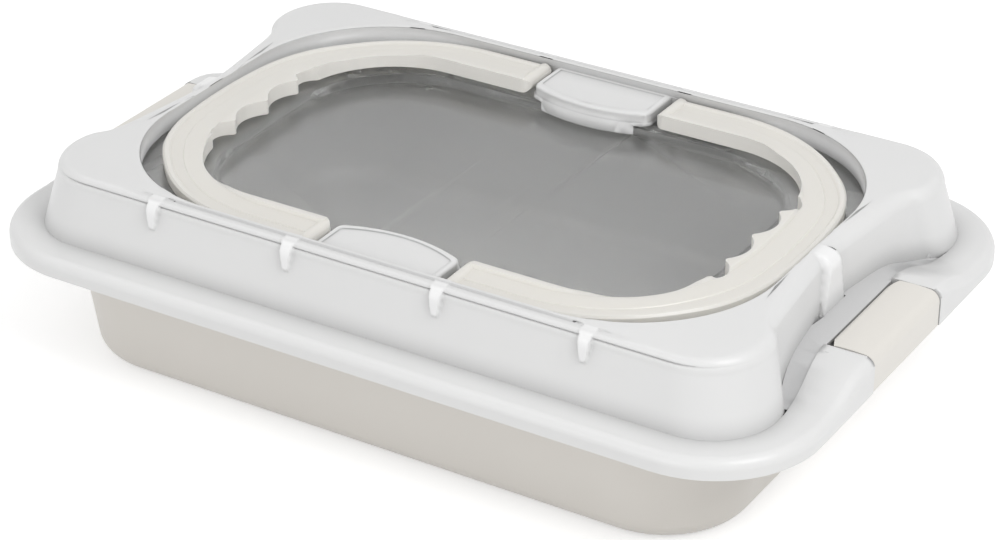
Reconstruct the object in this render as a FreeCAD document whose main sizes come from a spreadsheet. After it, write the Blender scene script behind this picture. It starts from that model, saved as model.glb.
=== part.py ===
import FreeCAD, Part
import math
import os
import Sketcher
from FreeCAD import Placement, Rotation, Vector

# Rectangular cake pan with a clear carrying lid. Millimetres, +Z up, X along the pan.
# The origin is the middle of the face that the pan stands on.

doc = FreeCAD.newDocument("CakePanWithLid")
sheet = doc.addObject("Spreadsheet::Sheet", "Sizes")

# Driving dimensions: alias, value, what it measures.
SIZES = [
    ("pan_floor_half_length", 157.4, "outer half length of the pan at its floor"),
    ("pan_floor_half_width", 106.6, "outer half width of the pan at its floor"),
    ("pan_floor_corner", 38.8, "outer corner radius at the floor"),
    ("pan_flare", 7.9, "how far the wall leans out over its height"),
    ("pan_height", 55.9, "from the floor to the top of the rim"),
    ("pan_gauge", 1.0, "thickness of the pressed sheet"),
    ("pan_floor_radius", 9.0, "outer bend between floor and wall"),
    ("rim_grip", 22.7, "reach of the rim past the wall at the short ends"),
    ("rim_ledge", 9.1, "reach of the rim past the wall at the long sides"),
    ("rim_corner", 46.0, "corner radius of the rim"),
    ("bead_diameter", 3.6, "rolled edge of the rim"),
    ("bead_bevel", 1.1, "how far the corners of the rolled edge are taken off"),
    ("lid_wall", 1.8, "wall of the moulded lid"),
    ("lid_overhang_ends", 5.0, "outside of the lid past the rim of the pan, at the ends"),
    ("lid_overhang_sides", 3.8, "outside of the lid past the rim of the pan, at the sides"),
    ("flange_corner", 48.6, "corner radius of the lid"),
    ("flange_thickness", 2.4, "plate that rests on the rim"),
    ("flange_rise", 7.7, "how much higher the flange is beside the latches"),
    ("flange_rise_outer", 72.0, "distance from the middle where the rise begins"),
    ("flange_rise_inner", 34.0, "distance from the middle where the rise is full"),
    ("flange_edge_radius", 4.5, "rounded outer edge of the flange"),
    ("skirt_depth", 8.4, "skirt below the top of the flange"),
    ("valley_groove_depth", 1.6, "band at the foot of the end walls, beside the latches"),
    ("valley_groove_tip", 0.6, "depth of that band where it ends at the lobes"),
    ("valley_groove_end", 0.93, "where it ends, as a share of the distance to the lobes"),
    ("flange_shelf_ends", 17.3, "flange outside the corner lobes, at the ends"),
    ("flange_shelf_sides", 15.3, "flange outside the dome, at the sides"),
    ("dome_foot_corner", 30.0, "corner radius of the dome at the flange"),
    ("valley_depth", 18.0, "how far the ends curve in between the lobes, at the flange"),
    ("lobe_slope_place", 0.81, "steep flank of a lobe, as a share of the distance to the lobe"),
    ("lobe_slope_reach", 0.64, "reach of that flank, as a share of the lobe's reach"),
    ("lobe_foot_place", 0.5, "start of that flank, as a share of the distance to the lobe"),
    ("lobe_foot_reach", 0.27, "reach of that start, as a share of the lobe's reach"),
    ("dome_rise", 30.7, "top of the dome above the flange"),
    ("shoulder_drop", 6.0, "height of the top rounding"),
    ("wall_lean_lobe", 6.2, "lean of the lobes up to the top rounding"),
    ("wall_lean_side", 5.3, "lean of the long sides up to the top rounding"),
    ("shoulder_corner", 28.0, "corner radius where the top rounding starts"),
    ("wall_lean_valley", 1.5, "lean of the middle of the ends up to the top rounding"),
    ("rounding_side", 3.0, "reach of the top rounding on the long sides"),
    ("rounding_lobe", 5.0, "reach of the top rounding on the lobes"),
    ("rounding_valley", 8.0, "reach of the top rounding in the middle of the ends"),
    ("top_land_ends", 8.3, "from the foot of the middle of the ends to the handle recess"),
    ("top_land_sides", 12.3, "from the foot of the long sides to the handle recess"),
    ("recess_corner", 66.0, "corner radius of the handle recess"),
    ("ledge_depth", 9.3, "shelf under the handles, below the top of the dome"),
    ("shelf_ends", 30.9, "shelf between the recess and the window, at the ends"),
    ("shelf_sides", 24.8, "shelf between the recess and the window, at the sides"),
    ("window_corner", 50.0, "corner radius of the clear window"),
    ("window_drop", 4.2, "window below the shelf"),
    ("block_half_width", 30.3, "half width of the blocks between the handles"),
    ("block_length", 28.8, "from the side of the recess to the middle of a block's curved front"),
    ("block_flank", 22.2, "from the side of the recess to the corner of a block's curved front"),
    ("block_corner", 5.5, "corner radius of a block in plan"),
    ("block_top_drop", 3.3, "top of a block below the top of the dome"),
    ("block_panel_depth", 0.5, "sunk panel in the top of a block"),
    ("block_panel_margin", 3.4, "raised edge round that panel"),
    ("block_step", 0.8, "how far the lower tier of a block stands out"),
    ("block_tier", 5.6, "lower tier of a block, above the window"),
    ("block_edge", 1.4, "rounded top edge of a block"),
    ("rib_top_width", 7.0, "ribs on the long walls, at the top"),
    ("rib_tip_width", 3.2, "ribs on the long walls, at their round tip"),
    ("rib_height", 13.0, "outer ribs, from the top of the dome down"),
    ("rib_bend", 6.5, "rounding of the ribs into the top of the dome"),
    ("rib_drop", 0.15, "top of the ribs below the top of the dome"),
    ("rib_corner_place", 104.0, "ribs next to the lobes, from the middle"),
    ("rib_pivot_place", 36.0, "ribs next to the handle pivots, from the middle"),
    ("end_rib_reach", 2.0, "ribs on the end walls, past the foot of the wall"),
    ("end_rib_top_width", 9.0, "ribs on the end walls, at the top"),
    ("end_rib_foot_width", 22.0, "ribs on the end walls, at the flange"),
    ("crease_turn", 30.0, "place of the fine crease in the top rounding, in degrees"),
    ("crease_opening", 6.0, "half the opening of that crease, in degrees"),
    ("crease_depth", 0.5, "depth of that crease along the sides"),
    ("top_step_depth", 0.7, "narrow step along the long top edges"),
    ("top_step_inset", 2.0, "where that step begins, past the recess"),
    ("handle_end_gap", 3.6, "between a handle's end and the recess"),
    ("handle_end_radius", 230.0, "outer edge of a handle's end"),
    ("handle_bend_radius", 80.0, "outer edge where the end turns into the arms"),
    ("grip_half_span", 30.5, "where the inner corners of a handle begin, from the middle"),
    ("handle_tail_corner", 4.5, "inner corner of the arm ends in plan"),
    ("handle_gap", 1.2, "between a handle's arm and the recess wall"),
    ("handle_width", 20.6, "width of a handle's arm"),
    ("handle_lift", 0.3, "between a handle and the shelf"),
    ("handle_rim_height", 6.0, "outer edge of a handle, above its underside"),
    ("handle_lip_height", 6.8, "inner lip of a handle, above its underside"),
    ("channel_floor_height", 4.7, "lowest line of the channel, above the underside"),
    ("handle_rim_land", 2.5, "width of a handle's outer rim"),
    ("channel_reach", 8.2, "lowest line of the channel, from the outer edge of the handle"),
    ("lip_reach", 16.8, "where the inner lip begins, from the outer edge of the handle"),
    ("handle_bevel", 0.9, "bevels on the outer edges of a handle"),
    ("grip_pitch", 24.5, "distance between the finger cusps"),
    ("grip_depth", 5.6, "depth of the finger hollows"),
    ("grip_shoulder", 3.0, "inner corner of a handle, short of the bottom of the hollows"),
    ("grip_cusp_radius", 1.8, "rounding of the finger cusps"),
    ("grip_corner_angle", 12.0, "direction, in degrees, in which that corner meets the outer hollow"),
    ("pivot_reach", 5.3, "handle pivot past the side of the blocks"),
    ("pivot_height", 3.25, "handle pivot above the underside of the handle"),
    ("pivot_pin_diameter", 4.0, "pins moulded on the handles"),
    ("pivot_pin_length", 4.2, "pins of the handles, past the arm"),
    ("pin_clearance", 0.06, "between a pin and its bore, on the radius"),
    ("bore_end_clearance", 0.5, "between the end of a pin and its bore"),
    ("boss_wall", 2.2, "wall round a pin's bore"),
    ("notch_half_width", 31.6, "half width of the latch notches"),
    ("notch_depth", 22.6, "depth of the latch notches from the outside of the lid"),
    ("latch_side_gap", 0.6, "between a latch and the sides of its notch"),
    ("latch_inner_gap", 0.45, "between a latch and the inner edge of its notch"),
    ("latch_wall", 2.4, "plate of a latch"),
    ("latch_crown", 0.3, "arch of a latch's top"),
    ("latch_bend", 5.0, "outer bend of a latch"),
    ("latch_corner", 8.5, "cut inner corners of a latch, along its inner edge"),
    ("latch_corner_depth", 3.6, "cut inner corners of a latch, from the inner edge"),
    ("latch_hook", 2.7, "reach of the hook under the rim"),
    ("latch_barrel_radius", 3.4, "round inner edge of a latch, about its pivot"),
    ("latch_pin_diameter", 3.2, "trunnions moulded on the latches"),
    ("latch_pin_length", 3.6, "trunnions, past the side of the latch"),
]


def fill_sheet():
    """Writes the driving dimensions into the spreadsheet, one row each."""
    for row, (alias, value, meaning) in enumerate(SIZES, 1):
        sheet.set(f"A{row}", meaning)
        sheet.set(f"B{row}", str(value))
        sheet.setAlias(f"B{row}", alias)
    doc.recompute()


fill_sheet()
size = {alias: float(sheet.get(alias)) for alias, value, meaning in SIZES}


def number(expression):
    """Value of an expression over the sheet."""
    return float(sheet.evalExpression(expression.replace("Sizes.", "")))


# Levels that several pieces share, as expressions over the sheet.
FLANGE_TOP = "(Sizes.pan_height + Sizes.flange_thickness)"
SKIRT_FOOT = f"({FLANGE_TOP} - Sizes.skirt_depth)"
DOME_TOP = f"({FLANGE_TOP} + Sizes.dome_rise)"
SHELF = f"({DOME_TOP} - Sizes.ledge_depth)"
WINDOW = f"({SHELF} - Sizes.window_drop)"
BLOCK_TOP = f"({DOME_TOP} - Sizes.block_top_drop)"
RAISED_FLANGE = f"({FLANGE_TOP} + Sizes.flange_rise)"
HANDLE_UNDERSIDE = f"({SHELF} + Sizes.handle_lift)"

# Places that follow from the pan, from the outside of the lid inwards, as expressions over the sheet.
MOUTH_LENGTH = "(Sizes.pan_floor_half_length + Sizes.pan_flare)"
MOUTH_WIDTH = "(Sizes.pan_floor_half_width + Sizes.pan_flare)"
RIM_LENGTH = f"({MOUTH_LENGTH} + Sizes.rim_grip)"
RIM_WIDTH = f"({MOUTH_WIDTH} + Sizes.rim_ledge)"
FLANGE_LENGTH = f"({RIM_LENGTH} + Sizes.lid_overhang_ends)"
FLANGE_WIDTH = f"({RIM_WIDTH} + Sizes.lid_overhang_sides)"
DOME_LENGTH = f"({FLANGE_LENGTH} - Sizes.flange_shelf_ends)"
DOME_WIDTH = f"({FLANGE_WIDTH} - Sizes.flange_shelf_sides)"
DOME_VALLEY = f"({DOME_LENGTH} - Sizes.valley_depth)"
RECESS_LENGTH = f"({DOME_VALLEY} - Sizes.top_land_ends)"
RECESS_WIDTH = f"({DOME_WIDTH} - Sizes.top_land_sides)"
HANDLE_SIDE = f"({RECESS_WIDTH} - Sizes.handle_gap)"
PLACES = {
    "flange_half_length": FLANGE_LENGTH,
    "flange_half_width": FLANGE_WIDTH,
    "dome_foot_half_length": DOME_LENGTH,
    "dome_foot_half_width": DOME_WIDTH,
    "dome_foot_valley": DOME_VALLEY,
    "shoulder_half_length": f"{DOME_LENGTH} - Sizes.wall_lean_lobe",
    "shoulder_half_width": f"{DOME_WIDTH} - Sizes.wall_lean_side",
    "shoulder_valley": f"{DOME_VALLEY} - Sizes.wall_lean_valley",
    "recess_half_length": RECESS_LENGTH,
    "recess_half_width": RECESS_WIDTH,
    "window_half_length": f"{RECESS_LENGTH} - Sizes.shelf_ends",
    "window_half_width": f"{RECESS_WIDTH} - Sizes.shelf_sides",
    "block_nose": f"{RECESS_WIDTH} - Sizes.block_length",
    "block_shoulder": f"{RECESS_WIDTH} - Sizes.block_flank",
    "handle_half_length": f"{RECESS_LENGTH} - Sizes.handle_end_gap",
    "handle_inner_corner": f"{HANDLE_SIDE} - Sizes.handle_width - Sizes.grip_half_span",
    "pivot_place": "Sizes.block_half_width + Sizes.pivot_reach",
    "notch_inner_place": f"{FLANGE_LENGTH} - Sizes.notch_depth",
}
size.update({name: number(expression) for name, expression in PLACES.items()})
PIVOT_LEVEL = f"({HANDLE_UNDERSIDE} + Sizes.pivot_height)"

flange_top = number(FLANGE_TOP)
skirt_foot = number(SKIRT_FOOT)
dome_top = number(DOME_TOP)
shelf = number(SHELF)
window = number(WINDOW)
block_top = number(BLOCK_TOP)
raised_flange = number(RAISED_FLANGE)
handle_underside = number(HANDLE_UNDERSIDE)
handle_side = number(HANDLE_SIDE)
pivot_level = number(PIVOT_LEVEL)
OVERSHOOT = 20.0
SMALL = 0.01


def plane(body, role):
    """One of a body's own origin planes."""
    return next(feature for feature in body.Origin.OriginFeatures if feature.Role == role)


def attach(sketch, body, role, offset):
    """Lays a sketch on an origin plane, raised by an expression over the sheet."""
    sketch.AttachmentSupport = [(plane(body, role), "")]
    sketch.MapMode = "FlatFace"
    sketch.setExpression("AttachmentOffset.Base.z", offset)


def add_rounded_rectangle(sketch, name, half_length, half_width, corner):
    """Adds a rounded rectangle about the origin; its sizes are expressions over the sheet."""
    length = number(half_length)
    width = number(half_width)
    radius = number(corner)
    first = sketch.GeometryCount
    inner_x = length - radius
    inner_y = width - radius
    centres = [(inner_x, inner_y), (-inner_x, inner_y), (-inner_x, -inner_y), (inner_x, -inner_y)]
    for quarter, (x, y) in enumerate(centres):
        circle = Part.Circle(Vector(x, y, 0), Vector(0, 0, 1), radius)
        start = quarter * math.pi / 2
        sketch.addGeometry(Part.ArcOfCircle(circle, start, start + math.pi / 2))
    for quarter in range(4):
        arc_end = sketch.getPoint(first + quarter, 2)
        next_start = sketch.getPoint(first + (quarter + 1) % 4, 1)
        sketch.addGeometry(Part.LineSegment(arc_end, next_start))
    for quarter in range(4):
        arc = first + quarter
        line = first + 4 + quarter
        sketch.addConstraint(Sketcher.Constraint("Tangent", arc, 2, line, 1))
        sketch.addConstraint(Sketcher.Constraint("Tangent", line, 2, first + (quarter + 1) % 4, 1))
        if quarter:
            sketch.addConstraint(Sketcher.Constraint("Equal", first, arc))
    top, left, bottom, right = range(first + 4, first + 8)
    for side in (top, bottom):
        sketch.addConstraint(Sketcher.Constraint("Horizontal", side))
    drives = [
        ("radius", Sketcher.Constraint("Radius", first, radius), corner),
        ("right", Sketcher.Constraint("DistanceX", -1, 1, right, 1, length), half_length),
        ("left", Sketcher.Constraint("DistanceX", left, 1, -1, 1, length), half_length),
        ("back", Sketcher.Constraint("DistanceY", -1, 1, top, 1, width), half_width),
        ("front", Sketcher.Constraint("DistanceY", bottom, 1, -1, 1, width), half_width),
    ]
    for side, constraint, expression in drives:
        index = sketch.addConstraint(constraint)
        sketch.renameConstraint(index, f"{name}_{side}")
        sketch.setExpression(f"Constraints.{name}_{side}", expression)


def edges_where(shape, chosen):
    """Names of the edges whose middle and ends all pass a test."""
    names = []
    for index, edge in enumerate(shape.Edges, 1):
        points = [vertex.Point for vertex in edge.Vertexes]
        points.append(edge.valueAt((edge.FirstParameter + edge.LastParameter) / 2))
        if all(chosen(point) for point in points):
            names.append(f"Edge{index}")
    return names


def build_pan():
    """The pressed pan: drafted walls, rounded floor, flat rim with grips and a rolled edge."""
    body = doc.addObject("PartDesign::Body", "Pan")
    floor = body.newObject("Sketcher::SketchObject", "PanFloor")
    attach(floor, body, "XY_Plane", "0")
    add_rounded_rectangle(
        floor, "floor", "Sizes.pan_floor_half_length", "Sizes.pan_floor_half_width",
        "Sizes.pan_floor_corner")
    walls = body.newObject("PartDesign::Pad", "PanWalls")
    walls.Profile = floor
    walls.setExpression("Length", "Sizes.pan_height")
    walls.setExpression("TaperAngle", "atan(Sizes.pan_flare / Sizes.pan_height)")
    doc.recompute()

    inner_length = "Sizes.pan_floor_half_length - Sizes.pan_gauge"
    inner_width = "Sizes.pan_floor_half_width - Sizes.pan_gauge"
    hollow = body.newObject("Sketcher::SketchObject", "PanHollowFloor")
    attach(hollow, body, "XY_Plane", "Sizes.pan_gauge")
    add_rounded_rectangle(
        hollow, "hollow", inner_length, inner_width, "Sizes.pan_floor_corner - Sizes.pan_gauge")
    cavity = body.newObject("PartDesign::Pocket", "PanHollow")
    cavity.Profile = hollow
    cavity.Reversed = True
    cavity.setExpression("Length", "Sizes.pan_height")
    cavity.setExpression("TaperAngle", "atan(Sizes.pan_flare / Sizes.pan_height)")
    doc.recompute()

    inner_floor = edges_where(cavity.Shape, lambda point: abs(point.z - size["pan_gauge"]) < SMALL)
    inner_bend = body.newObject("PartDesign::Fillet", "PanInnerBend")
    inner_bend.Base = (cavity, inner_floor)
    inner_bend.setExpression("Radius", "Sizes.pan_floor_radius - Sizes.pan_gauge")
    doc.recompute()
    outer_bend = body.newObject("PartDesign::Fillet", "PanFloorBend")
    outer_bend.Base = (inner_bend, edges_where(inner_bend.Shape, lambda point: abs(point.z) < SMALL))
    outer_bend.setExpression("Radius", "Sizes.pan_floor_radius")
    doc.recompute()

    mouth_corner = "(Sizes.pan_floor_corner + Sizes.pan_flare)"
    rim = body.newObject("Sketcher::SketchObject", "PanRimOutline")
    attach(rim, body, "XY_Plane", "Sizes.pan_height - Sizes.pan_gauge")
    add_rounded_rectangle(rim, "edge", RIM_LENGTH, RIM_WIDTH, "Sizes.rim_corner")
    add_rounded_rectangle(
        rim, "mouth", f"{MOUTH_LENGTH} - Sizes.pan_gauge / 2", f"{MOUTH_WIDTH} - Sizes.pan_gauge / 2",
        f"{mouth_corner} - Sizes.pan_gauge / 2")
    plate = body.newObject("PartDesign::Pad", "PanRim")
    plate.Profile = rim
    plate.setExpression("Length", "Sizes.pan_gauge")

    roll = body.newObject("Sketcher::SketchObject", "PanRollOutline")
    attach(roll, body, "XY_Plane", "Sizes.pan_height - Sizes.bead_diameter")
    add_rounded_rectangle(roll, "outside", RIM_LENGTH, RIM_WIDTH, "Sizes.rim_corner")
    add_rounded_rectangle(
        roll, "inside", f"{RIM_LENGTH} - Sizes.bead_diameter", f"{RIM_WIDTH} - Sizes.bead_diameter",
        "Sizes.rim_corner - Sizes.bead_diameter")
    bead = body.newObject("PartDesign::Pad", "PanRoll")
    bead.Profile = roll
    bead.setExpression("Length", "Sizes.bead_diameter")
    doc.recompute()

    underside = size["pan_height"] - size["bead_diameter"]
    past_mouth_x = number(f"{MOUTH_LENGTH} + Sizes.pan_gauge")
    past_mouth_y = number(f"{MOUTH_WIDTH} + Sizes.pan_gauge")

    def on_roll(point):
        past_mouth = abs(point.x) > past_mouth_x or abs(point.y) > past_mouth_y
        at_edge = min(abs(point.z - underside), abs(point.z - size["pan_height"])) < SMALL
        return past_mouth and at_edge

    rounded = body.newObject("PartDesign::Chamfer", "PanRolledEdge")
    rounded.Base = (bead, edges_where(bead.Shape, on_roll))
    rounded.setExpression("Size", "Sizes.bead_bevel")
    doc.recompute()
    return body


pan = build_pan()
pan.Label = "pan"


def shaped(name, shape):
    """Puts a shape worked out from the sheet into the document."""
    feature = doc.addObject("Part::Feature", name)
    feature.Shape = shape
    return feature


def rounded_rectangle(half_length, half_width, corner, level):
    """Wire of a rounded rectangle about the Z axis."""
    inner_x = half_length - corner
    inner_y = half_width - corner
    edges = []
    for quarter, (x, y) in enumerate(
            [(inner_x, inner_y), (-inner_x, inner_y), (-inner_x, -inner_y), (inner_x, -inner_y)]):
        circle = Part.Circle(Vector(x, y, level), Vector(0, 0, 1), corner)
        edges.append(Part.ArcOfCircle(circle, quarter * math.pi / 2, (quarter + 1) * math.pi / 2).toShape())
    sides = [Part.LineSegment(edges[i].lastVertex().Point, edges[(i + 1) % 4].firstVertex().Point).toShape()
             for i in range(4)]
    return Part.Wire([edge for pair in zip(edges, sides) for edge in pair])


def curve(points, start=None, end=None):
    """Smooth edge through a few points, with the direction at its ends where it matters."""
    spline = Part.BSplineCurve()
    if start is None:
        spline.interpolate(Points=points)
    else:
        spline.interpolate(Points=points, InitialTangent=start, FinalTangent=end)
    return spline.toShape()


def prism(name, wire, height):
    """Upright solid over a flat outline; the height is an expression over the sheet."""
    outline = shaped(f"{name}Outline", wire)
    solid = doc.addObject("Part::Extrusion", name)
    solid.Base = outline
    solid.DirMode = "Custom"
    solid.Dir = Vector(0, 0, 1)
    solid.Solid = True
    solid.setExpression("LengthFwd", height)
    return solid


def fuse(name, parts):
    """One solid from several."""
    joined = doc.addObject("Part::MultiFuse", name)
    joined.Shapes = parts
    return joined


def cut(name, base, tool):
    """One solid less another."""
    rest = doc.addObject("Part::Cut", name)
    rest.Base = base
    rest.Tool = tool
    return rest


def common(name, parts):
    """What several solids share."""
    shared = doc.addObject("Part::MultiCommon", name)
    shared.Shapes = parts
    return shared


def dome_section(level, reach, inset):
    """Outline of the dome at one level. The ends curve inwards between the corner lobes."""
    half_length, half_width, corner, valley = reach
    half_length -= inset
    half_width -= inset
    corner -= inset
    valley -= inset
    lobe_y = half_width - corner
    inner_x = half_length - corner
    slope = (valley + size["lobe_slope_reach"] * (half_length - valley), size["lobe_slope_place"] * lobe_y)
    start = (valley + size["lobe_foot_reach"] * (half_length - valley), size["lobe_foot_place"] * lobe_y)
    flank = [start, slope, (half_length, lobe_y)]

    def end(side):
        path = [(x, -y) for x, y in reversed(flank)] + [(valley, 0)] + flank
        points = [Vector(side * x, side * y, level) for x, y in path]
        return curve(points, Vector(0, side, 0), Vector(0, side, 0))

    def corner_arc(x_side, y_side):
        centre = Vector(x_side * inner_x, y_side * lobe_y, level)
        middle = centre + Vector(x_side, y_side, 0).normalize() * corner
        at_side = centre + Vector(x_side * corner, 0, 0)
        at_front = centre + Vector(0, y_side * corner, 0)
        ends = (at_front, at_side) if x_side * y_side < 0 else (at_side, at_front)
        return Part.Arc(ends[0], middle, ends[1]).toShape()

    def long_side(y_side):
        start = Vector(y_side * inner_x, y_side * half_width, level)
        return Part.LineSegment(start, Vector(-start.x, start.y, level)).toShape()

    return Part.Wire([
        long_side(-1), corner_arc(1, -1), end(1), corner_arc(1, 1),
        long_side(1), corner_arc(-1, 1), end(-1), corner_arc(-1, -1)])


def dome_reach(level):
    """Half length, half width, corner and valley of the drafted wall at one level."""
    share = (level - flange_top) / (dome_top - size["shoulder_drop"] - flange_top)
    pairs = [("dome_foot_half_length", "shoulder_half_length"),
             ("dome_foot_half_width", "shoulder_half_width"),
             ("dome_foot_corner", "shoulder_corner"),
             ("dome_foot_valley", "shoulder_valley")]
    return [size[foot] + share * (size[top] - size[foot]) for foot, top in pairs]


def dome(name, wall, foot, stations):
    """Drafted wall under a rounding that is narrow along the sides and wide in the valleys.

    Each station is a place in the rounding, in degrees, and how far the long sides are sunk there.
    """
    shoulder = dome_top - size["shoulder_drop"]
    sections = [shaped(f"{name}Foot", dome_section(foot, dome_reach(foot), wall)),
                shaped(f"{name}Shoulder", dome_section(shoulder, dome_reach(shoulder), wall))]
    half_length, half_width, corner, valley = dome_reach(shoulder)
    for step, (degrees, sunk) in enumerate(stations, 1):
        turn = math.radians(degrees)
        share = 1 - math.cos(turn)
        inward = share * size["rounding_side"] + sunk
        reach = [half_length - share * size["rounding_lobe"], half_width - inward, corner - inward,
                 valley - share * size["rounding_valley"]]
        level = shoulder + (size["shoulder_drop"] - wall) * math.sin(turn)
        sections.append(shaped(f"{name}Round{step}", dome_section(level, reach, wall * math.cos(turn))))
    loft = doc.addObject("Part::Loft", name)
    loft.Sections = sections
    loft.Solid = True
    loft.Ruled = True
    return loft


def s_bend(start, end, rising):
    """Two tangent arcs in the YZ plane that join two levels."""
    across = abs(end.y - start.y)
    up = abs(end.z - start.z)
    radius = (across ** 2 + up ** 2) / (4 * up)
    half_turn = math.atan(up / across)
    middle = (start + end) / 2
    near = Vector(0, radius * math.sin(half_turn), radius * (1 - math.cos(half_turn)))
    lift = Vector(0, 0, near.z if rising else -near.z)
    first = Part.Arc(start, start + Vector(0, near.y, 0) + lift, middle)
    second = Part.Arc(middle, end - Vector(0, near.y, 0) - lift, end)
    return [first.toShape(), second.toShape()]


def flange_profile(side_drop, middle_drop, low):
    """Section of the flange across the lid: flat at the sides, higher in the middle."""
    reach = size["flange_half_width"] + OVERSHOOT
    side = flange_top - side_drop
    middle = raised_flange - middle_drop
    outer = size["flange_rise_outer"]
    inner = size["flange_rise_inner"]
    x = -size["flange_half_length"] - OVERSHOOT

    def place(y, z):
        return Vector(x, y, z)

    rise = s_bend(place(-outer, side), place(-inner, middle), True)
    fall = s_bend(place(inner, middle), place(outer, side), False)
    edges = [
        Part.LineSegment(place(-reach, side), place(-outer, side)).toShape(), *rise,
        Part.LineSegment(place(-inner, middle), place(inner, middle)).toShape(), *fall,
        Part.LineSegment(place(outer, side), place(reach, side)).toShape(),
        Part.LineSegment(place(reach, side), place(reach, low)).toShape(),
        Part.LineSegment(place(reach, low), place(-reach, low)).toShape(),
        Part.LineSegment(place(-reach, low), place(-reach, side)).toShape()]
    return Part.Face(Part.Wire(edges))


def flange_body(name, inset, side_drop, middle_drop, low):
    """Flange and skirt as a solid block; its upper edge is rounded outside and bevelled inside."""
    bar = shaped(f"{name}Bar", flange_profile(side_drop, middle_drop, low).extrude(
        Vector(2 * (size["flange_half_length"] + OVERSHOOT), 0, 0)))
    half_length = size["flange_half_length"] - inset
    half_width = size["flange_half_width"] - inset
    outline = rounded_rectangle(half_length, half_width, size["flange_corner"] - inset, low)
    plan = shaped(f"{name}Plan", Part.Face(outline).extrude(Vector(0, 0, raised_flange - low + OVERSHOOT)))
    block = common(f"{name}Block", [bar, plan])
    doc.recompute()
    lowest_top = flange_top - side_drop - SMALL
    rim = [edge for edge in block.Shape.Edges if edge.BoundBox.ZMin > lowest_top and on_outline(edge, inset)]
    if inset:
        return shaped(name, block.Shape.makeChamfer(size["lid_wall"], rim))
    return shaped(name, block.Shape.makeFillet(size["flange_edge_radius"], rim))


def on_outline(edge, inset):
    """Whether an edge runs along the outer outline of the flange."""
    corner = size["flange_corner"] - inset
    inner_x = size["flange_half_length"] - inset - corner
    inner_y = size["flange_half_width"] - inset - corner
    for parameter in (0.1, 0.5, 0.9):
        place = edge.valueAt(edge.FirstParameter + parameter * (edge.LastParameter - edge.FirstParameter))
        past_x = max(abs(place.x) - inner_x, 0)
        past_y = max(abs(place.y) - inner_y, 0)
        if abs(math.hypot(past_x, past_y) - corner) > 0.05:
            return False
    return True


def valley_grooves():
    """Bands in the flange along the foot of the end walls, from the latches to points at the lobes."""
    half_length, half_width, corner, valley = dome_reach(flange_top)
    tip_y = size["valley_groove_end"] * (half_width - corner)
    notch_x = size["notch_inner_place"] + SMALL
    notch_y = size["notch_half_width"]
    inside = valley - 2 * size["lid_wall"]
    low = flange_top - OVERSHOOT
    outline = [(inside, -tip_y), (half_length, -tip_y), (notch_x, -notch_y), (notch_x, notch_y),
               (half_length, tip_y), (inside, tip_y), (inside, -tip_y)]
    bands = []
    for side in (-1, 1):
        face = Part.Face(Part.makePolygon([Vector(side * x, y, low) for x, y in outline]))
        bands.append(face.extrude(Vector(0, 0, size["flange_rise"] + 2 * OVERSHOOT)))
    floor = flange_profile(size["valley_groove_tip"], size["valley_groove_depth"], low - OVERSHOOT).extrude(
        Vector(2 * (size["flange_half_length"] + OVERSHOOT), 0, 0))
    return shaped("ValleyGrooves", bands[0].fuse(bands[1]).cut(floor))


def block_outline(side, inset, level):
    """Plan of one pivot block: straight flanks and a front that bulges towards the window."""
    half = size["block_half_width"] - inset
    nose = side * (size["block_nose"] + inset)
    shoulder = side * (size["block_shoulder"] + inset)
    back = side * (size["recess_half_width"] + (OVERSHOOT if inset <= size["block_step"] else -inset / 2))
    front = Part.Arc(Vector(-half, shoulder, level), Vector(0, nose, level), Vector(half, shoulder, level))
    edges = [front.toShape(),
             Part.LineSegment(Vector(half, shoulder, level), Vector(half, back, level)).toShape(),
             Part.LineSegment(Vector(half, back, level), Vector(-half, back, level)).toShape(),
             Part.LineSegment(Vector(-half, back, level), Vector(-half, shoulder, level)).toShape()]
    return Part.Wire(edges)


def block(name, side, inset, low, high, edge_radius=0):
    """One pivot block as a solid, its front corners rounded in plan and its top edge where wanted."""
    solid = Part.Face(block_outline(side, inset, low)).extrude(Vector(0, 0, high - low))
    front = abs(size["block_shoulder"] + inset)
    corners = [edge for edge in solid.Edges
               if edge.BoundBox.ZLength > SMALL and abs(abs(edge.CenterOfMass.y) - front) < SMALL]
    solid = solid.makeFillet(max(size["block_corner"] - inset, size["lid_wall"]), corners)
    if edge_radius:
        back = size["recess_half_width"]
        top = [edge for edge in solid.Edges
               if edge.BoundBox.ZMin > high - SMALL and abs(edge.CenterOfMass.y) < back]
        solid = solid.makeFillet(edge_radius, top)
    return shaped(name, solid)


def rib_profile(inner, outer, low):
    """Outline of an outer rib from the side, rounded over into the top of the dome."""
    high = dome_top - size["rib_drop"]
    turn = size["rib_bend"]
    eased = turn * (1 - math.sqrt(0.5))

    def place(reach, z):
        return Vector(reach, 0, z)

    bend = Part.Arc(place(outer, high - turn), place(outer - eased, high - eased),
                    place(outer - turn, high)).toShape()
    edges = [Part.LineSegment(place(inner, low), place(outer, low)).toShape(),
             Part.LineSegment(place(outer, low), place(outer, high - turn)).toShape(), bend,
             Part.LineSegment(place(outer - turn, high), place(inner, high)).toShape(),
             Part.LineSegment(place(inner, high), place(inner, low)).toShape()]
    return Part.Face(Part.Wire(edges))


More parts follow.
